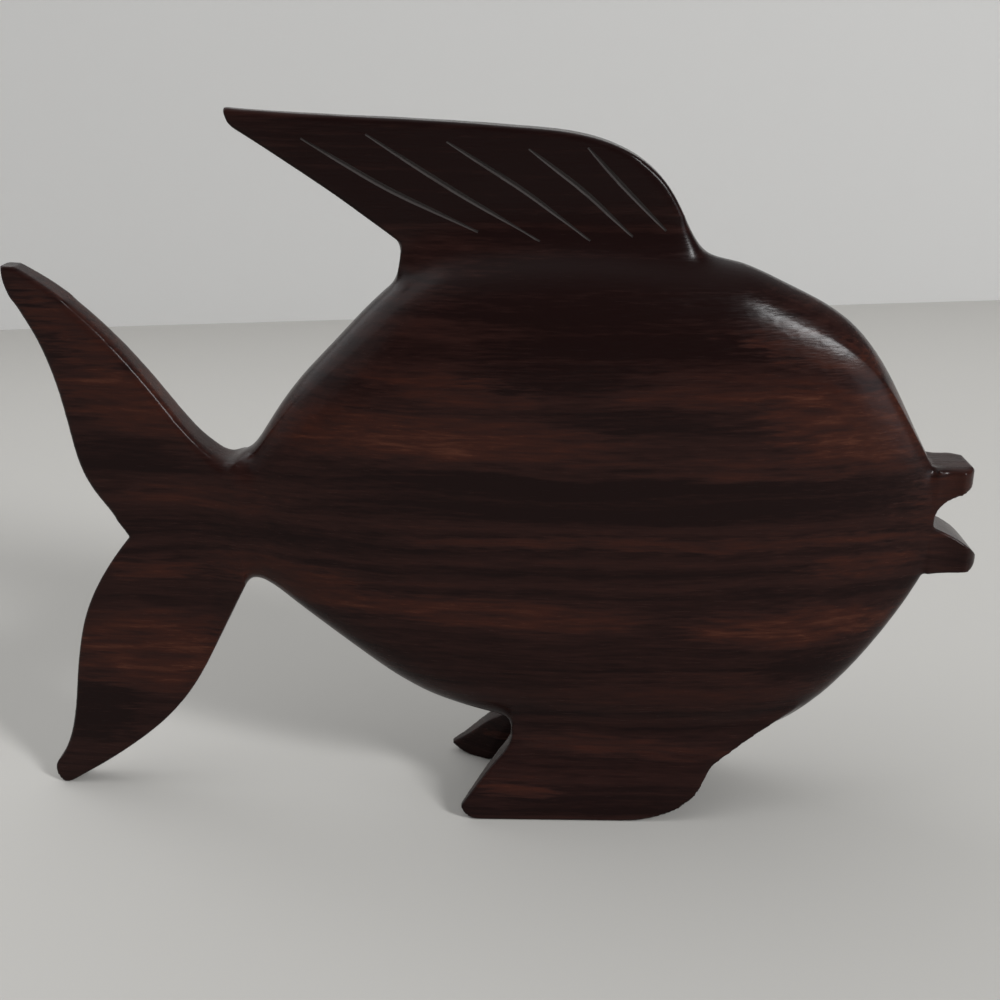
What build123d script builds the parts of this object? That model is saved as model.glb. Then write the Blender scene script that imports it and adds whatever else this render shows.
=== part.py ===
from build123d import *
import os

# A small fish carved from a hardwood board. It stands on two splayed pelvic fins and on the
# tip of its tail. Millimetres: +X runs to the lips, +Y to the fish's left side, +Z up.
# The origin is on the table, under the middle of the fish.

# Driving dimensions of the board and of the members carved from it.
board_thickness = 20.0
tail_root_x = -33.5
tail_root_half = 4.2
tail_tip_half = 1.4
lip_root_x = 55.7
lip_half = 4.3
widest_z = 41.5
fork = (-48.9, 37.8)
tail_root_z = 40.4
mouth_z = 41.0
mouth_depth_x = 56.1
upper_lip_x = 61.1
lower_lip_x = 62.5
sole_outer_y = 9.8
sole_inner_y = 5.9
sole_front_x = 17.0
heel_thickness = 1.3
pared_root_y = 4.3

# The dorsal fin is a blade that thickens from its rear tip to its front edge.
fin_rear = (-34.0, 1.2)
fin_front = (27.0, 3.0)

# Softened edges, and the V-cuts on each face of the dorsal fin.
lobe_arris = 0.5
fin_arris = 0.5
lip_arris = 0.5
groove_width = 0.5
groove_depth = 0.35

# Fullness of the body's cross-section: 0.55 is an ellipse, 1.0 is nearly a box.
crown_fullness = 0.80
upper_side_fullness = 0.68
lower_side_fullness = 0.70
keel_fullness = 1.0

# Where the arris that borders the forehead lies on the section's upper quarter: 0 is the crown.
arris_share = 0.36

# Stations of the body from tail to lips: x, half thickness, keel height, crown height, and how
# far the arris that borders the forehead stands proud of the rounded section. It keeps a trace
# along the back, where the eye can't find it.
body_stations = [
    (tail_root_x, tail_root_half, 31.7, 49.4, 0.3),
    (-29.5, 5.0, 30.6, 53.6, 0.2),
    (-25.0, 6.2, 27.0, 59.6, 0.1),
    (-19.0, 7.5, 22.2, 65.9, 0.03),
    (-12.5, 8.6, 17.4, 72.0, 0.03),
    (-4.0, 9.3, 13.6, 75.4, 0.03),
    (1.0, 9.6, 12.2, 76.0, 0.03),
    (6.0, 9.8, 11.2, 76.35, 0.03),
    (11.0, 9.95, 10.6, 76.4, 0.03),
    (16.0, board_thickness / 2, 10.2, 76.2, 0.03),
    (21.0, 9.95, 9.9, 75.7, 0.03),
    (26.0, 9.8, 9.7, 75.0, 0.03),
    (34.0, 9.2, 10.1, 72.5, 0.03),
    (41.0, 8.2, 13.4, 69.0, 0.2),
    (46.5, 7.1, 18.8, 64.3, 0.5),
    (51.0, 5.9, 25.0, 57.3, 0.7),
    (54.0, 5.0, 30.1, 51.7, 0.7),
    (lip_root_x, 4.5, 33.6, 48.7, 0.6),
]

# The grooves of the dorsal fin, each as its upper end, middle and lower end in x and z.
grooves = [
    [(-22.9, 88.6), (-13.3, 83.3), (-2.8, 78.4)],
    [(-14.9, 89.2), (-5.2, 82.9), (4.6, 77.2)],
    [(-5.9, 88.6), (3.0, 83.0), (10.7, 77.3)],
    [(3.9, 87.7), (10.2, 83.0), (15.9, 77.8)],
    [(11.0, 87.4), (14.4, 83.8), (20.0, 78.7)],
]

# Reach of the construction solids: taller than the fish, and a height safely inside the body.
overall_reach = 100.0
inside_belly_z = 20.0
inside_crown_z = 66.0

os.makedirs("parts", exist_ok=True)


def long_arrises(member):
    # The long sharp edges on both sides of a thin member.
    return member.edges().filter_by(lambda edge: abs(edge.center().Y) > 1 and edge.length > 20)


def side_arrises(lip):
    # The sharp edges that run along both sides of a lip.
    return lip.edges().filter_by(lambda edge: abs(edge.center().Y) > 3 and edge.length > 3)


def creased_crown(half, crown, proud):
    # The section's upper quarter: one rounded curve cut in two at the arris, which is drawn outwards.
    def along(a, b):
        return a + (b - a) * arris_share

    top, side = Vector(0, crown), Vector(half, widest_z)
    top_pull = Vector(half * crown_fullness, crown)
    side_pull = Vector(half, widest_z + (crown - widest_z) * upper_side_fullness)
    knee = along(top_pull, side_pull)
    near_top, near_side = along(top, top_pull), along(side_pull, side)
    before, after = along(near_top, knee), along(knee, near_side)
    outward = (after - before).normalized().rotate(Axis.Z, 90)
    arris = along(before, after) + outward * proud
    Bezier(top, near_top, before, arris)
    Bezier(arris, after, near_side, side)


# Body: a loft through rounded sections, flat-sided with a soft crown and a blunt keel.
with BuildPart() as body:
    for x, half, keel, crown, proud in body_stations:
        keel_pull = widest_z - (widest_z - keel) * lower_side_fullness
        with BuildSketch(Plane.YZ.offset(x)):
            with BuildLine():
                creased_crown(half, crown, proud)
                Bezier((half, widest_z), (half, keel_pull), (half * keel_fullness, keel), (0, keel))
                mirror(about=Plane.YZ)
            make_face()
    loft()

# Plan of the tail: both lobes thin out from the root to the tips.
tail_root = (tail_root_x, tail_root_half)
tail_tip = (-64.0, tail_tip_half)
upper_tail_tip = (-61.9, 73.6)
with BuildSketch() as tail_plan:
    with BuildLine():
        Spline(tail_root, (-38.0, 3.1), (-47.0, 2.5), (-57.0, 2.0), tail_tip)
        Line(tail_tip, (tail_tip[0], 0))
        Line(tail_root, (tail_root_x, 0))
        mirror(about=Plane.XZ)
    make_face()

with BuildPart() as upper_tail_lobe:
    with BuildSketch(Plane.XZ):
        with BuildLine():
            Polyline(fork, (tail_root_x, tail_root_z), (tail_root_x, 49.2), (-35.0, 48.4))
            Spline((-35.0, 48.4), (-37.6, 50.1), (-41.9, 55.1), (-47.4, 62.4), (-54.6, 69.7), (-60.1, 73.5))
            Line((-60.1, 73.5), upper_tail_tip)
            Spline(upper_tail_tip, (-61.9, 71.8), (-61.2, 69.6), (-58.8, 64.9), (-55.8, 53.9), (-53.9, 45.5),
                   (-51.1, 41.1), fork)
        make_face()
    extrude(amount=board_thickness / 2, both=True)
    with BuildSketch():
        add(tail_plan.sketch)
    extrude(amount=overall_reach, mode=Mode.INTERSECT)
    fillet(long_arrises(upper_tail_lobe), radius=lobe_arris)

# The lower lobe's rounded tip ends in a short flat that rests on the table.
with BuildPart() as lower_tail_lobe:
    with BuildSketch(Plane.XZ):
        with BuildLine():
            Polyline((tail_root_x, 31.6), (tail_root_x, tail_root_z), fork)
            Spline(fork, (-52.4, 33.2), (-55.2, 28.2), (-58.4, 16.0), (-60.0, 8.1), (-62.2, 3.7))
            ThreePointArc((-62.2, 3.7), (-62.8, 1.3), (-61.8, 0))
            Line((-61.8, 0), (-60.8, 0))
            Spline((-60.8, 0), (-52.6, 5.4), (-43.1, 14.2), (-38.7, 21.4), (-35.2, 28.4), (tail_root_x, 31.6))
        make_face()
    extrude(amount=board_thickness / 2, both=True)
    with BuildSketch():
        add(tail_plan.sketch)
    extrude(amount=overall_reach, mode=Mode.INTERSECT)
    fillet(long_arrises(lower_tail_lobe), radius=lobe_arris)

# Dorsal fin: it overhangs the back at the rear, and its foot is seated on the body's crown.
fin_tip = (-32.8, 92.5)
fin_brow = (23.3, 78.7)
fin_toe = (28.5, 71.0)
with BuildPart() as dorsal_fin:
    with BuildSketch(Plane.XZ):
        with BuildLine():
            Spline((-11.8, 76.4), (-21.5, 83.4), (-31.7, 90.0))
            ThreePointArc((-31.7, 90.0), (-32.6, 91.2), fin_tip)
            Spline(fin_tip, (-16.0, 91.5), (2.3, 90.4), (12.7, 88.8), (20.0, 84.3), fin_brow, fin_toe)
            Polyline(fin_toe, (28.5, inside_crown_z), (-8.0, inside_crown_z), (-13.0, 70.0), (-11.8, 76.4))
        make_face()
    extrude(amount=board_thickness / 2, both=True)
    with BuildSketch():
        with BuildLine():
            Line(fin_rear, fin_front)
            Line(fin_rear, (fin_rear[0], 0))
            Line(fin_front, (fin_front[0], 0))
            mirror(about=Plane.XZ)
        make_face()
    extrude(amount=overall_reach, mode=Mode.INTERSECT)
    add(body.part, mode=Mode.SUBTRACT)
    fillet(long_arrises(dorsal_fin).filter_by(lambda edge: edge.center().Z > 80), radius=fin_arris)
    # The grooves are spindles that taper to nothing at both ends, cut into both faces.
    run = fin_front[0] - fin_rear[0]
    spread = fin_front[1] - fin_rear[1]
    for side in (-1, 1):
        blade_face = Plane(
            origin=(fin_rear[0], side * fin_rear[1], 0),
            x_dir=(run, side * spread, 0),
            z_dir=(-spread, side * run, 0),
        )
        with BuildSketch(blade_face):
            for ends in grooves:
                start, middle, end = [Vector(x - fin_rear[0], -side * z) for x, z in ends]
                across = (end - start).normalized().rotate(Axis.Z, 90) * (groove_width / 2)
                with BuildLine():
                    ThreePointArc(start, middle + across, end)
                    ThreePointArc(start, middle - across, end)
                make_face()
        extrude(amount=-groove_depth, mode=Mode.SUBTRACT)


def lip_plan(front_x):
    # Plan of one lip: a little waisted behind its end, which is rounded.
    root_half = lip_half + 0.2
    waist = (58.0, lip_half - 0.2)
    corner = (front_x - 1.9, lip_half)
    shoulder = (front_x - 0.5, 3.2)
    with BuildSketch() as plan:
        with BuildLine():
            Spline((lip_root_x, root_half), waist, corner)
            Spline(corner, shoulder, (front_x, 0), tangents=[(1, -0.4), (0, -1)])
            mirror(about=Plane.XZ)
            Line((lip_root_x, root_half), (lip_root_x, -root_half))
        make_face()
    return plan.sketch


# Lips: two blunt pegs parted by the open mouth. The upper one is shorter.
upper_lip_plan = lip_plan(upper_lip_x)
with BuildPart() as upper_lip:
    with BuildSketch(Plane.XZ):
        with BuildLine():
            Polyline((60.6, 48.7), (lip_root_x, 48.7), (lip_root_x, mouth_z), (mouth_depth_x, mouth_z))
            Spline((mouth_depth_x, mouth_z), (56.8, 43.8), (59.1, 45.2), (upper_lip_x, 46.2))
            Spline((upper_lip_x, 46.2), (upper_lip_x + 0.1, 47.7), (60.6, 48.7))
        make_face()
    extrude(amount=board_thickness / 2, both=True)
    with BuildSketch():
        add(upper_lip_plan)
    extrude(amount=overall_reach, mode=Mode.INTERSECT)
    fillet(side_arrises(upper_lip).filter_by(lambda edge: edge.center().Z > 48), radius=lip_arris)

lower_lip_plan = lip_plan(lower_lip_x)
with BuildPart() as lower_lip:
    with BuildSketch(Plane.XZ):
        with BuildLine():
            Polyline((mouth_depth_x, mouth_z), (lip_root_x, mouth_z), (lip_root_x, 34.3), (60.3, 34.5))
            Spline((60.3, 34.5), (61.8, 35.1), (lower_lip_x, 36.3))
            Spline((lower_lip_x, 36.3), (61.3, 37.8), (58.9, 39.5), (mouth_depth_x, mouth_z))
        make_face()
    extrude(amount=board_thickness / 2, both=True)
    with BuildSketch():
        add(lower_lip_plan)
    extrude(amount=overall_reach, mode=Mode.INTERSECT)
    fillet(side_arrises(lower_lip).filter_by(lambda edge: edge.center().Z < 35), radius=lip_arris)


def pelvic_fin(side, rear_edge):
    # One leg: its side outline and its flared section cut from a block, then fitted to the belly.
    heel_x, heel_z = rear_edge[-1]
    rear_root = (1.9, 12.6)
    front_root = (40.5, 16.0)
    front_corner = (28.8, 7.5)
    outer_root = (side * 7.1, 12.4)
    inner_root = (side * 1.2, 12.2)
    outer_sole = (side * sole_outer_y, 0)
    inner_sole = (side * sole_inner_y, 0)
    with BuildPart() as fin:
        with BuildSketch(Plane.XZ):
            with BuildLine():
                Polyline(front_corner, front_root, (36.0, inside_belly_z), (2.6, inside_belly_z), rear_root)
                Spline(rear_root, *rear_edge)
                ThreePointArc((heel_x, heel_z), (heel_x + 0.6, 0.8), (heel_x + 2.6, 0))
                Line((heel_x + 2.6, 0), (sole_front_x, 0))
                Spline((sole_front_x, 0), (21.5, 0.7), (25.6, 2.8), (27.8, 5.4), front_corner)
            make_face()
        extrude(amount=board_thickness, both=True)
        with BuildSketch(Plane.YZ.offset(-overall_reach / 2)):
            with BuildLine():
                Line(inner_sole, outer_sole)
                Spline(outer_sole, (side * 9.3, 4.0), (side * 8.1, 8.6), outer_root)
                Polyline(outer_root, (side * 5.4, inside_belly_z), (side * 1.2, inside_belly_z), inner_root)
                Spline(inner_root, (side * 3.4, 9.0), (side * 5.0, 4.6), inner_sole)
            make_face()
        extrude(amount=overall_reach, mode=Mode.INTERSECT)
        # The inner rear corner is pared away, so that the rear edge is thin and thickens forwards.
        heel = Vector(heel_x, side * (sole_outer_y - heel_thickness), heel_z)
        root = Vector(rear_root[0], side * pared_root_y, rear_root[1])
        forwards = Vector(2, -side, 0)
        pared = Plane(origin=heel, x_dir=forwards, z_dir=(root - heel).cross(forwards) * side)
        split(bisect_by=pared, keep=Keep.TOP)
        add(body.part, mode=Mode.SUBTRACT)
    return fin


# Pelvic fins: curved legs that flare from the belly to flat soles, with an open arch between them.
# Each rear edge runs from the belly down to the heel. The left heel lies further back.
right_pelvic_fin = pelvic_fin(-1, [(1.6, 10.4), (-0.3, 8.1), (-2.8, 4.9), (-4.9, 1.9)])
left_pelvic_fin = pelvic_fin(1, [(2.6, 10.2), (-0.5, 7.3), (-4.6, 3.4), (-7.1, 1.3)])

members = {
    "body": body,
    "dorsal_fin": dorsal_fin,
    "upper_tail_lobe": upper_tail_lobe,
    "lower_tail_lobe": lower_tail_lobe,
    "upper_lip": upper_lip,
    "lower_lip": lower_lip,
    "right_pelvic_fin": right_pelvic_fin,
    "left_pelvic_fin": left_pelvic_fin,
}
for name, member in members.items():
    member.part.label = name
    export_step(member.part, f"parts/{name}.step")
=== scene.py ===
from math import cos, radians, sin

import bmesh
import bpy
from mathutils import Matrix, Vector, noise
import numpy as np


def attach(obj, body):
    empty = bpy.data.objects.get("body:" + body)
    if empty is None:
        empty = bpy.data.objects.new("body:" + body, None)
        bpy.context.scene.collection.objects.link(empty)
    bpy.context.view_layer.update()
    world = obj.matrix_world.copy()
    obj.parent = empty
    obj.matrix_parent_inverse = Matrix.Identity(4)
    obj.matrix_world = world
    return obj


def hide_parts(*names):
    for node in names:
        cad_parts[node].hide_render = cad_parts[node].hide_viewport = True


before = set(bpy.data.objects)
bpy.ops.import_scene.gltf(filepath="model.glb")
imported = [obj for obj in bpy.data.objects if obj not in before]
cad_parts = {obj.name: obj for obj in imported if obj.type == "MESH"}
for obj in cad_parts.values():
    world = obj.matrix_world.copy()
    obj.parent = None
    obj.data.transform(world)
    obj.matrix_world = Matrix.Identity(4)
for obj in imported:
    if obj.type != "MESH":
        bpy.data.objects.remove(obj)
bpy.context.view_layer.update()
scene = bpy.context.scene
mm = 0.001  # the scene is in metres
outside = 20 * mm  # from the middle plane, well clear of the fish's sides
print("frame loaded")


def hexColour(text):
    # sRGB hex to the linear colour that Blender works in
    channels = [int(text[i:i + 2], 16) / 255 for i in (0, 2, 4)]
    linear = [c / 12.92 if c <= 0.04045 else ((c + 0.055) / 1.055) ** 2.4 for c in channels]
    return (*linear, 1.0)


def addNode(tree, kind, settings=None, inputs=None):
    # one node; an input takes a plain value or another node's output
    node = tree.nodes.new(kind)
    for name, value in (settings or {}).items():
        setattr(node, name, value)
    for name, value in (inputs or {}).items():
        if isinstance(value, bpy.types.NodeSocket):
            tree.links.new(value, node.inputs[name])
        else:
            node.inputs[name].default_value = value
    return node


# Camera: where the photographer stood
shot = {
    "target": (0.2, 0.0, 42.7),  # mm, near the middle of the fish
    "round": 1.4,  # degrees round towards the head
    "above": 20.0,  # degrees above the table
    "distance": 177.3,  # mm
    "lens": 48.42,  # on a 36 mm sensor
}


def placeCamera():
    across, up = radians(shot["round"]), radians(shot["above"])
    target = Vector(shot["target"]) * mm
    away = Vector((sin(across) * cos(up), -cos(across) * cos(up), sin(up)))
    lens = bpy.data.cameras.new("camera")
    lens.lens = shot["lens"]
    lens.sensor_width = 36
    lens.clip_start = 0.01
    camera = bpy.data.objects.new("camera", lens)
    camera.location = target + away * shot["distance"] * mm
    camera.rotation_euler = (-away).to_track_quat("-Z", "Y").to_euler()
    scene.collection.objects.link(camera)
    scene.camera = camera


placeCamera()
print("camera placed")

# Stage: a pale card under the fish, and another behind it
backdrop = {
    "wallY": 313.7,  # mm behind the fish
    "wallTurn": 9.4,  # degrees, the wall isn't quite square to the camera
    "reach": 1500,  # mm to each side
    "height": 160,
    "floor": "b6b4b0",
    "wall": "cac9c7",
}


def card(name, colour):
    # matt paper face of a card, a light warm grey
    material = bpy.data.materials.new(name)
    material.use_nodes = True
    tree = material.node_tree
    tree.nodes.clear()
    paper = addNode(tree, "ShaderNodeBsdfPrincipled", inputs={
        "Base Color": hexColour(colour), "Roughness": 0.9, "Specular IOR Level": 0.2})
    addNode(tree, "ShaderNodeOutputMaterial", inputs={"Surface": paper.outputs[0]})
    return material


def stageSheet(name, width, depth, turn, place, colour):
    # a flat sheet, turned and then moved to its place in mm
    bm = bmesh.new()
    bmesh.ops.create_grid(bm, x_segments=1, y_segments=1, size=0.5)
    bmesh.ops.scale(bm, verts=bm.verts[:], vec=(width * mm, depth * mm, 1))
    bmesh.ops.transform(bm, verts=bm.verts[:], matrix=Matrix.Translation(Vector(place) * mm) @ turn)
    mesh = bpy.data.meshes.new(name)
    bm.to_mesh(mesh)
    bm.free()
    sheet = bpy.data.objects.new(name, mesh)
    scene.collection.objects.link(sheet)
    mesh.materials.append(card(name + "_card", colour))


span, height = 2 * backdrop["reach"], backdrop["height"]
upright = Matrix.Rotation(radians(backdrop["wallTurn"]), 4, "Z") @ Matrix.Rotation(radians(90), 4, "X")
stageSheet("floor", span, span, Matrix.Identity(4), (0, 0, 0), backdrop["floor"])
stageSheet("wall", span, height, upright, (0, backdrop["wallY"], height / 2), backdrop["wall"])

# Lamps: direction from the fish, distance, width and height (mm), power (W), colour
lamps = {
    "window_right": ((0.66, -0.54, 0.52), 2000, (280, 560), 28.5, "fdfeff"),
    "white_wall_right": ((0.84, -0.53, 0.12), 2000, (900, 800), 5.6, "f2f6ff"),
    "white_wall_left": ((-0.86, -0.45, 0.24), 2000, (1000, 900), 1.5, "fafcff"),
    "skylight_left": ((-0.68, 0.18, 0.71), 2000, (2300, 1900), 17.4, "fbfcff"),
}
# The room's own light: brightest overhead to the left and behind, dim where the photographer stands
room = {
    "brightest": (-0.42, 0.30, 0.85),
    "colour": "f4f5f5",
    "bright": 0.91,
    "dim": 0.195,
    "fade": (0.25, 0.9),  # nearness to the brightest part where the glow starts and is full
}


def placeLamps():
    target = Vector(shot["target"]) * mm
    for name, (direction, distance, (width, height), power, colour) in lamps.items():
        data = bpy.data.lights.new(name, "AREA")
        data.shape = "RECTANGLE"
        data.size, data.size_y = width * mm, height * mm
        data.energy = power
        data.color = hexColour(colour)[:3]
        light = bpy.data.objects.new(name, data)
        towards = Vector(direction).normalized()
        light.location = target + towards * distance * mm
        light.rotation_euler = (-towards).to_track_quat("-Z", "Y").to_euler()
        scene.collection.objects.link(light)


def lightRoom():
    world = bpy.data.worlds.new("room")
    world.use_nodes = True
    tree = world.node_tree
    tree.nodes.clear()
    direction = addNode(tree, "ShaderNodeTexCoord").outputs["Generated"]
    nearness = addNode(tree, "ShaderNodeVectorMath", {"operation": "DOT_PRODUCT"},
                       {0: direction, 1: Vector(room["brightest"]).normalized()}).outputs["Value"]
    strength = addNode(tree, "ShaderNodeMapRange", {"interpolation_type": "SMOOTHSTEP"}, {
        "Value": nearness, "From Min": room["fade"][0], "From Max": room["fade"][1],
        "To Min": room["dim"], "To Max": room["bright"]})
    glow = addNode(tree, "ShaderNodeBackground", inputs={
        "Color": hexColour(room["colour"]), "Strength": strength.outputs[0]})
    addNode(tree, "ShaderNodeOutputWorld", inputs={"Surface": glow.outputs[0]})
    scene.world = world
    scene.view_settings.view_transform = "Standard"


lightRoom()
placeLamps()
print("stage and lamps ready")

# Wood: rosewood heartwood, sanded by hand and waxed
wood = {
    "dark": "170a09",
    "middle": "271512",
    "warm": "361b14",
    "light": "4e2c20",
    # zones of warmer wood, from the side: x, z, half length, half height (mm), tilt in degrees, strength
    "zones": [
        (-8.5, 53.8, 28, 4.6, -3.0, 0.28), (-6.0, 60.2, 13, 2.4, -8.0, 0.20),
        (-9.0, 53.0, 15, 2.2, -3.0, 0.12), (38.0, 50.6, 26, 2.2, 0.0, 0.20),
        (46.0, 55.8, 14, 5.6, -5.0, 0.36), (27.5, 60.0, 17, 3.4, 1.0, 0.20),
        (40.0, 64.4, 12, 2.4, -12.0, 0.26), (24.0, 40.2, 44, 1.3, 0.2, 0.28),
        (47.0, 36.5, 9, 2.2, 3.0, 0.26), (-26.0, 33.4, 14, 3.2, -8.0, 0.24),
        (0.0, 30.4, 24, 2.4, -2.0, 0.30), (39.6, 28.9, 16, 3.0, 3.0, 0.36),
        (-47.2, 21.6, 14, 7.0, -2.0, 0.34), (-45.5, 33.6, 8, 2.0, 1.0, 0.26),
        (-47.5, 57.2, 12, 5.0, -8.0, 0.30), (-52.8, 66.4, 11, 4.0, -38.0, 0.26),
        (-38.0, 44.0, 12, 2.2, 0.0, 0.16), (57.3, 45.0, 6, 5.0, 0.0, 0.20),
        (16.2, 10.4, 20, 1.8, -2.0, 0.20), (3.1, 4.1, 7, 1.3, 1.0, 0.28),
        (26.0, 19.0, 22, 4.0, 4.0, 0.10),
        # below zero: darker than the wood around
        (16.2, 46.2, 46, 3.2, 0.0, -0.17), (14.6, 71.2, 26, 8.0, 0.0, -0.18),
        (41.0, 22.6, 9, 2.8, 3.0, -0.16), (-56.0, 12.0, 7, 6.0, 16.0, -0.16),
        (-50.0, 49.0, 12, 3.6, 4.0, -0.14), (-2.0, 85.0, 40, 9.0, 0.0, -0.16),
        (19.0, 55.8, 14, 2.0, 0.0, -0.12), (16.0, 62.8, 24, 4.0, 0.0, -0.16),
        (18.0, 3.2, 16, 3.2, 0.0, -0.08), (3.0, 47.8, 20, 1.0, -2.0, -0.12),
    ],
    "shine": (0.18, 0.28),  # roughness of the smoothest and the roughest fibres
    "mirror": 0.10,  # oil and wax sink into the open pores, so it mirrors less than a varnish
    "relief": 0.18,  # strength of the bump along the fibres
}


def polishedHardwood():
    # polished rosewood: near-black heartwood with red-brown zones, frayed grain and fine pores under wax
    material = bpy.data.materials.new("polished_hardwood")
    material.use_nodes = True
    tree = material.node_tree
    tree.nodes.clear()

    def pattern(point, scale, detail=2.0):
        # soft noise; scale gives cycles per mm along x, y and z
        spread = addNode(tree, "ShaderNodeVectorMath", {"operation": "MULTIPLY"}, {0: point, 1: scale})
        return addNode(tree, "ShaderNodeTexNoise", inputs={
            "Vector": spread.outputs[0], "Scale": 1.0, "Detail": detail})

    def shifted(point, source, reach):
        # moves the point by up to half of reach either way
        centred = addNode(tree, "ShaderNodeVectorMath", {"operation": "SUBTRACT"},
                          {0: source.outputs["Color"], 1: (0.5, 0.5, 0.5)})
        return addNode(tree, "ShaderNodeVectorMath", {"operation": "MULTIPLY_ADD"},
                       {0: centred.outputs[0], 1: reach, 2: point}).outputs[0]

    def product(value, factor):
        return addNode(tree, "ShaderNodeMath", {"operation": "MULTIPLY"}, {0: value, 1: factor}).outputs[0]

    def added(value, factor, total):
        return addNode(tree, "ShaderNodeMath", {"operation": "MULTIPLY_ADD"},
                       {0: value, 1: factor, 2: total}).outputs[0]

    def stretched(value, low, high, toLow, toHigh):
        return addNode(tree, "ShaderNodeMapRange", inputs={
            "Value": value, "From Min": low, "From Max": high, "To Min": toLow, "To Max": toHigh}).outputs[0]

    place = addNode(tree, "ShaderNodeTexCoord").outputs["Object"]
    # from here on in mm
    point = addNode(tree, "ShaderNodeVectorMath", {"operation": "SCALE"},
                    {0: place, "Scale": 1 / mm}).outputs[0]
    wavy = shifted(point, pattern(point, (0.03, 0.05, 0.10)), (6, 0, 4))
    frayed = shifted(wavy, pattern(point, (0.20, 1.2, 2.2), 3.0), (22, 0, 2.2))
    zones = addNode(tree, "ShaderNodeValue").outputs[0]
    zones.default_value = 0.0
    for x, z, halfLength, halfHeight, tilt, strength in wood["zones"]:
        spot = addNode(tree, "ShaderNodeMapping", {"vector_type": "TEXTURE"}, {
            "Vector": frayed, "Location": (x, 0, z), "Rotation": (0, radians(-tilt), 0),
            "Scale": (halfLength, 1000, halfHeight)}).outputs[0]
        soft = addNode(tree, "ShaderNodeTexGradient", {"gradient_type": "SPHERICAL"}, {"Vector": spot})
        flat = stretched(soft.outputs["Fac"], 0.0, 0.45, 0.0, 1.0)
        zones = added(flat, strength, zones)
    # growth lines run the whole length; mottle breaks the warm zones up; fibres and flecks lie over both
    drifting = shifted(wavy, pattern(point, (0.08, 0.3, 0.6)), (0, 0, 0.7))
    lines = pattern(drifting, (0.008, 0.05, 0.85), 3.0).outputs[0]
    mottle = pattern(wavy, (0.16, 0.6, 1.5), 3.0).outputs[0]
    fibres = pattern(point, (0.34, 2.2, 4.2), 3.0).outputs[0]
    flecks = stretched(pattern(point, (0.75, 2.5, 5.5), 1.0).outputs[0], 0.62, 0.74, 0.0, 1.0)
    warmth = product(zones, stretched(mottle, 0.30, 0.70, 0.45, 1.05))
    # tone: 0 is the darkest heartwood, 1 the lightest streak
    tone = added(lines, 0.42, warmth)
    tone = added(mottle, 0.24, tone)
    tone = added(fibres, 0.20, tone)
    tone = added(product(flecks, warmth), 0.40, tone)
    ramp = addNode(tree, "ShaderNodeValToRGB", inputs={"Fac": tone})
    stops = ramp.color_ramp.elements
    stops[0].position, stops[0].color = 0.34, hexColour(wood["dark"])
    stops[1].position, stops[1].color = 1.0, hexColour(wood["light"])
    for spot, colour in ((0.50, wood["middle"]), (0.74, wood["warm"])):
        stops.new(spot).color = hexColour(colour)
    shine = stretched(fibres, 0.3, 0.7, *wood["shine"])
    relief = addNode(tree, "ShaderNodeBump", inputs={
        "Height": fibres, "Strength": wood["relief"], "Distance": 0.1 * mm})
    shader = addNode(tree, "ShaderNodeBsdfPrincipled", inputs={
        "Base Color": ramp.outputs["Color"], "Roughness": shine, "Normal": relief.outputs[0], "IOR": 1.5,
        "Specular IOR Level": wood["mirror"]})
    addNode(tree, "ShaderNodeOutputMaterial", inputs={"Surface": shader.outputs[0]})
    return material


woodMaterial = polishedHardwood()
print("wood mixed")

# The carving: the members are joined into one board, softened by hand, and parted again where they meet
carving = {
    "voxel": 0.30,  # mm, grain of the remesh
    "smoothing": 1,  # passes that take the arrises off
    "dent": 0.07,  # mm, depth of the hand's unevenness
    "dentSize": 11.0,  # mm
    "kept": 0.5,  # share of the faces that the finished carving keeps
    "boxSide": 1.2,  # mm, the boxes below fade in over this
    # roots that run into the body in a soft hollow: lowest and highest x, y and z in mm, and passes
    "hollows": {
        "finFoot": ((-15, 34), (0, 11), (66, 86), 380),
        "pelvicRoots": ((-6, 27.5), (4.5, 11), (3, 24), 420),
        "pelvicFronts": ((25, 44), (4.5, 11), (5.5, 22), 90),
        "tailRoot": ((-40, -26), (1, 11), (33.5, 47.5), 150),
        "notches": ((-38, -29), (0, 11), (26, 53), 40),
        "upperLipRoot": ((53.5, 58), (2.5, 11), (45.5, 51), 90),
        "lowerLipRoot": ((53.5, 58), (3.4, 11), (33, 37), 30),
    },
    # edges that were sanded rounder than the rest: the same box, and passes
    "rounded": {
        "tailNotch": ((-37.5, -30.5), (0, 11), (46, 54), 30),
        "upperLobe": ((-66, -34.5), (0, 11), (40, 69.5), 22),
        "finFront": ((16, 26), (0, 11), (77, 87), 16),
        "finToe": ((20, 30), (0, 11), (72, 80), 45),
        "pelvicFront": ((26, 42), (5, 11), (4.5, 18), 14),
        "upperLip": ((56.4, 63), (2.5, 11), (48.0, 51), 24),
    },
}


def fromBmesh(bm, name):
    mesh = bpy.data.meshes.new(name)
    bm.to_mesh(mesh)
    bm.free()
    piece = bpy.data.objects.new(name, mesh)
    scene.collection.objects.link(piece)
    return piece


def modified(piece, kind, settings):
    # applies one modifier and gives the object its new mesh
    modifier = piece.modifiers.new(kind.lower(), kind)
    for key, value in settings.items():
        setattr(modifier, key, value)
    graph = bpy.context.evaluated_depsgraph_get()
    mesh = bpy.data.meshes.new_from_object(piece.evaluated_get(graph))
    piece.modifiers.clear()
    piece.data = mesh
    return piece


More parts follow.
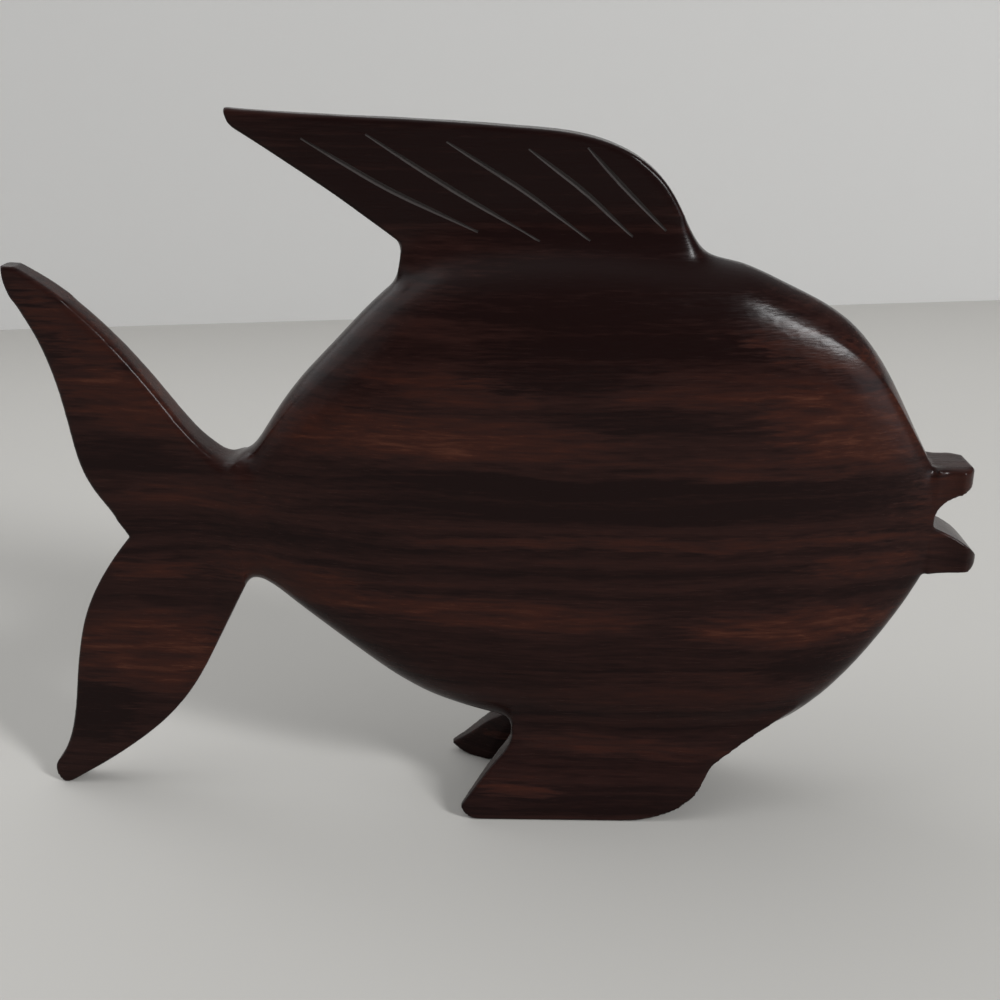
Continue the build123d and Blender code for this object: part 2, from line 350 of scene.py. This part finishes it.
def closeGrooves(bm):
    # drops the fin's groove walls and closes the blade's faces again; the grooves are cut crisp at the end
    bm.normal_update()
    for v in bm.verts:
        v.tag = False
    steep = set(f for f in bm.faces if abs(f.normal.y) < 0.985)
    walls = []
    while steep:
        island, edge = set(), [steep.pop()]
        while edge:
            face = edge.pop()
            island.add(face)
            for e in face.edges:
                for other in e.link_faces:
                    if other in steep:
                        steep.discard(other)
                        edge.append(other)
        # a groove is shallow and lies on one face; the blade's edge reaches across
        deep = [v.co.y for f in island for v in f.verts]
        shallow = max(deep) - min(deep) < 1.2 * mm
        oneSided = min(abs(d) for d in deep) > 0.5 * mm
        if shallow and oneSided and len(island) < 4000:
            walls += island
    bmesh.ops.delete(bm, geom=walls, context="FACES")
    bmesh.ops.holes_fill(bm, edges=[e for e in bm.edges if e.is_boundary], sides=0)
    return len(walls)


def wholeBlank():
    # every member's mesh in one
    whole = bmesh.new()
    for name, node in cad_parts.items():
        bm = bmesh.new()
        bm.from_mesh(node.data)
        bmesh.ops.remove_doubles(bm, verts=bm.verts[:], dist=1e-7)
        if name == "dorsal_fin":
            print("groove walls", closeGrooves(bm))
        mesh = bpy.data.meshes.new("copy")
        bm.to_mesh(mesh)
        bm.free()
        whole.from_mesh(mesh)
        bpy.data.meshes.remove(mesh)
    joined = fromBmesh(whole, "joined")
    blank = bpy.data.objects.new("blank", joined.data.copy())
    scene.collection.objects.link(blank)
    modified(blank, "REMESH",
             {"mode": "VOXEL", "voxel_size": carving["voxel"] * mm, "use_smooth_shade": True})
    # and the remeshed arrises crisp again
    modified(blank, "SHRINKWRAP", {"target": joined, "wrap_method": "NEAREST_SURFACEPOINT"})
    bpy.data.objects.remove(joined)
    return blank


def inBox(points, box):
    # how far inside the box each point lies, 0 to 1, with soft sides
    inside = np.ones(len(points))
    for axis, (low, high) in enumerate(box):
        place = np.abs(points[:, axis]) if axis == 1 else points[:, axis]
        low, high = low * mm, high * mm
        for depth in (place - low, high - place):
            if axis != 1 or low > 0:
                inside = np.minimum(inside, np.clip(depth / (carving["boxSide"] * mm), 0, 1))
    return inside


def rubbed(mesh, box, passes, onlyHollows):
    # evens the surface inside a box; with onlyHollows it fills the creases and leaves the ridges
    points = np.empty(len(mesh.vertices) * 3)
    mesh.vertices.foreach_get("co", points)
    points = points.reshape(-1, 3)
    ends = np.empty(len(mesh.edges) * 2, np.int64)
    mesh.edges.foreach_get("vertices", ends)
    ends = ends.reshape(-1, 2)
    share = inBox(points, box)
    local, ends = np.unique(ends[(share[ends] > 0).any(1)], return_inverse=True)
    ends = ends.reshape(-1, 2)
    both = np.concatenate([ends, ends[:, ::-1]])
    near, share = points[local], 0.5 * share[local, None]
    links = np.bincount(both[:, 0]).clip(1)[:, None]
    normals = np.empty(len(mesh.vertices) * 3)
    for i in range(passes):
        total = np.stack([np.bincount(both[:, 0], near[both[:, 1], axis]) for axis in range(3)], 1)
        pull = (total / links - near) * share
        if onlyHollows:
            if i % 20 == 0:
                points[local] = near
                mesh.vertices.foreach_set("co", points.ravel())
                mesh.update()
                mesh.vertex_normals.foreach_get("vector", normals)
                outwards = normals.reshape(-1, 3)[local]
            pull[(pull * outwards).sum(1) <= 0] = 0
        near = near + pull
    points[local] = near
    mesh.vertices.foreach_set("co", points.ravel())
    mesh.update()


def soften(blank):
    print("blank has", len(blank.data.vertices), "points")
    modified(blank, "SMOOTH", {"factor": 0.5, "iterations": carving["smoothing"]})
    for onlyHollows, places in ((True, carving["hollows"]), (False, carving["rounded"])):
        for name, (*box, passes) in places.items():
            rubbed(blank.data, box, passes, onlyHollows)
            print("rubbed", name)
    size = carving["dentSize"] * mm
    bm = bmesh.new()
    bm.from_mesh(blank.data)
    for v in bm.verts:
        wave = noise.noise(v.co / size) + 0.4 * noise.noise(v.co / size * 2.3 + Vector((7, 3, 5)))
        v.co += v.normal * (wave - 0.4) * carving["dent"] * mm
        v.co.z = max(v.co.z, 0)
    bm.to_mesh(blank.data)
    bm.free()
    modified(blank, "DECIMATE", {"ratio": carving["kept"]})


blank = wholeBlank()
soften(blank)
print("blank carved")

# Where the members part, in the side view (x, z in mm)
parting = {
    "tailRoot": -33.5,
    "tailMiddle": ((-48.9, 37.8), (-33.5, 40.4)),
    "lipRoot": 55.7,
    "mouth": 41.0,
    # just above the crown, and just below the belly
    "crown": [(-38, 80.5), (-13.8, 72.6), (-8, 74.7), (-4, 75.8), (1, 76.5), (6, 76.7), (16, 76.6),
              (26, 75.4), (31, 74.0), (40, 74.0)],
    "belly": [(-14, 12.5), (-4, 13.1), (6, 10.8), (16, 9.8), (26, 9.3), (34, 9.6), (41, 9.8)],
}


def prism(name, line, far):
    # a block across the fish, bounded on one side by a line of the side view
    bm = bmesh.new()
    ends = [(line[-1][0], far), (line[0][0], far)]
    corners = [bm.verts.new((x * mm, -outside, z * mm)) for x, z in line + ends]
    face = bm.faces.new(corners)
    raised = bmesh.ops.extrude_face_region(bm, geom=[face])
    moved = [g for g in raised["geom"] if isinstance(g, bmesh.types.BMVert)]
    bmesh.ops.translate(bm, verts=moved, vec=(0, 2 * outside, 0))
    bmesh.ops.recalc_face_normals(bm, faces=bm.faces[:])
    return fromBmesh(bm, name)


def halved(piece, point, normal):
    # drops what lies in front of the plane and closes the cut
    bm = bmesh.new()
    bm.from_mesh(piece.data)
    cut = bmesh.ops.bisect_plane(bm, geom=bm.verts[:] + bm.edges[:] + bm.faces[:], dist=1e-8,
                                 plane_co=point, plane_no=normal, clear_outer=True)
    rim = [g for g in cut["geom_cut"] if isinstance(g, bmesh.types.BMEdge)]
    bmesh.ops.triangle_fill(bm, edges=rim, use_beauty=True, use_dissolve=True, normal=normal)
    for e in rim:
        if e.is_valid:
            e.smooth = False
    bm.to_mesh(piece.data)
    bm.free()


def copied(name):
    piece = bpy.data.objects.new(name, blank.data.copy())
    scene.collection.objects.link(piece)
    return piece


def finished(piece, node):
    piece.data.materials.clear()
    piece.data.materials.append(woodMaterial)
    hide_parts(node)
    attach(piece, "root")


def partMembers():
    above = prism("above_crown", parting["crown"], 110)
    below = prism("below_belly", parting["belly"], -10)
    root = Vector((parting["tailRoot"] * mm, 0, 0))
    lips = Vector((parting["lipRoot"] * mm, 0, 0))
    mouth = Vector((0, 0, parting["mouth"] * mm))
    (x0, z0), (x1, z1) = parting["tailMiddle"]
    middle = Vector((x0 * mm, 0, z0 * mm))
    upwards = Vector((z0 - z1, 0, x1 - x0)).normalized()
    cuts = {
        "body": [(root, (-1, 0, 0)), (lips, (1, 0, 0))],
        "upper_tail_lobe": [(root, (1, 0, 0)), (middle, -upwards)],
        "lower_tail_lobe": [(root, (1, 0, 0)), (middle, upwards)],
        "upper_lip": [(lips, (-1, 0, 0)), (mouth, (0, 0, -1))],
        "lower_lip": [(lips, (-1, 0, 0)), (mouth, (0, 0, 1))],
    }
    for name, planes in cuts.items():
        piece = copied("carved_" + name)
        for point, normal in planes:
            halved(piece, point, normal)
        if name == "body":
            for block in (above, below):
                modified(piece, "BOOLEAN",
                         {"operation": "DIFFERENCE", "object": block, "solver": "MANIFOLD"})
        finished(piece, name)
    # the pelvic fins part in the middle plane: side says which half is dropped
    fins = {"dorsal_fin": (above, 0), "right_pelvic_fin": (below, 1), "left_pelvic_fin": (below, -1)}
    for name, (block, side) in fins.items():
        piece = copied("carved_" + name)
        modified(piece, "BOOLEAN", {"operation": "INTERSECT", "object": block, "solver": "MANIFOLD"})
        if side:
            halved(piece, (0, 0, 0), (0, side, 0))
        finished(piece, name)
    bpy.data.objects.remove(above)
    bpy.data.objects.remove(below)


partMembers()
bpy.data.objects.remove(blank)
print("members parted")

# The V-cuts on both faces of the dorsal fin
grooves = {
    "width": 0.64,  # mm
    "taper": (0.35, 0.9, 1.0, 0.9, 0.5),  # share of the width from the upper to the lower end
    "colour": "2b2422",
    "lines": [  # upper end, middle and lower end in the side view
        [(-23.6, 89.0), (-13.4, 83.1), (-2.4, 78.1)],
        [(-15.8, 89.5), (-5.2, 82.9), (5.1, 77.1)],
        [(-6.1, 88.7), (3.1, 83.1), (11.2, 77.2)],
        [(3.7, 87.9), (10.3, 83.1), (16.3, 77.7)],
        [(10.7, 88.1), (14.6, 84.0), (20.3, 78.4)],
    ],
}


def freshCut():
    # wood cut with a knife after the sanding: open grain, paler and without polish
    material = bpy.data.materials.new("knife_cut_hardwood")
    material.use_nodes = True
    tree = material.node_tree
    tree.nodes.clear()
    shader = addNode(tree, "ShaderNodeBsdfPrincipled", inputs={
        "Base Color": hexColour(grooves["colour"]), "Roughness": 0.75, "IOR": 1.5})
    addNode(tree, "ShaderNodeOutputMaterial", inputs={"Surface": shader.outputs[0]})
    return material


def grooveCutters(fin):
    # one cutter along each groove, its middle on the blade's surface
    curve = bpy.data.curves.new("groove_cutters", "CURVE")
    curve.dimensions = "3D"
    curve.twist_mode = "Z_UP"
    curve.bevel_depth = grooves["width"] / 2 * mm
    curve.bevel_resolution = 0
    curve.resolution_u = 8
    curve.use_fill_caps = True
    for side in (-1, 1):
        for line in grooves["lines"]:
            upper, middle, lower = (Vector(p) for p in line)
            spline = curve.splines.new("NURBS")
            run = [upper, upper.lerp(middle, 0.4), middle, middle.lerp(lower, 0.6), lower]
            spline.points.add(len(run) - 1)
            for point, (x, z), radius in zip(spline.points, run, grooves["taper"]):
                start = Vector((x * mm, side * outside, z * mm))
                place = fin.ray_cast(start, Vector((0, -side, 0)))[1]
                point.co = (*place, 1)
                point.radius = radius
            spline.order_u = 3
            spline.use_endpoint_u = True
    cutters = bpy.data.objects.new("groove_cutters", curve)
    scene.collection.objects.link(cutters)
    graph = bpy.context.evaluated_depsgraph_get()
    mesh = bpy.data.meshes.new_from_object(cutters.evaluated_get(graph))
    bpy.data.objects.remove(cutters)
    mesh.materials.clear()
    mesh.materials.append(freshCut())
    block = bpy.data.objects.new("groove_cutters", mesh)
    scene.collection.objects.link(block)
    return block


def cutGrooves(fin):
    cutters = grooveCutters(fin)
    modified(fin, "BOOLEAN",
             {"operation": "DIFFERENCE", "object": cutters, "solver": "EXACT", "material_mode": "TRANSFER"})
    bpy.data.objects.remove(cutters)
    bm = bmesh.new()
    bm.from_mesh(fin.data)
    for e in bm.edges:
        if len(set(f.material_index for f in e.link_faces)) > 1:
            e.smooth = False  # a crisp rim round each cut
    bm.to_mesh(fin.data)
    bm.free()


cutGrooves(bpy.data.objects["carved_dorsal_fin"])
print("grooves cut")

print("done")
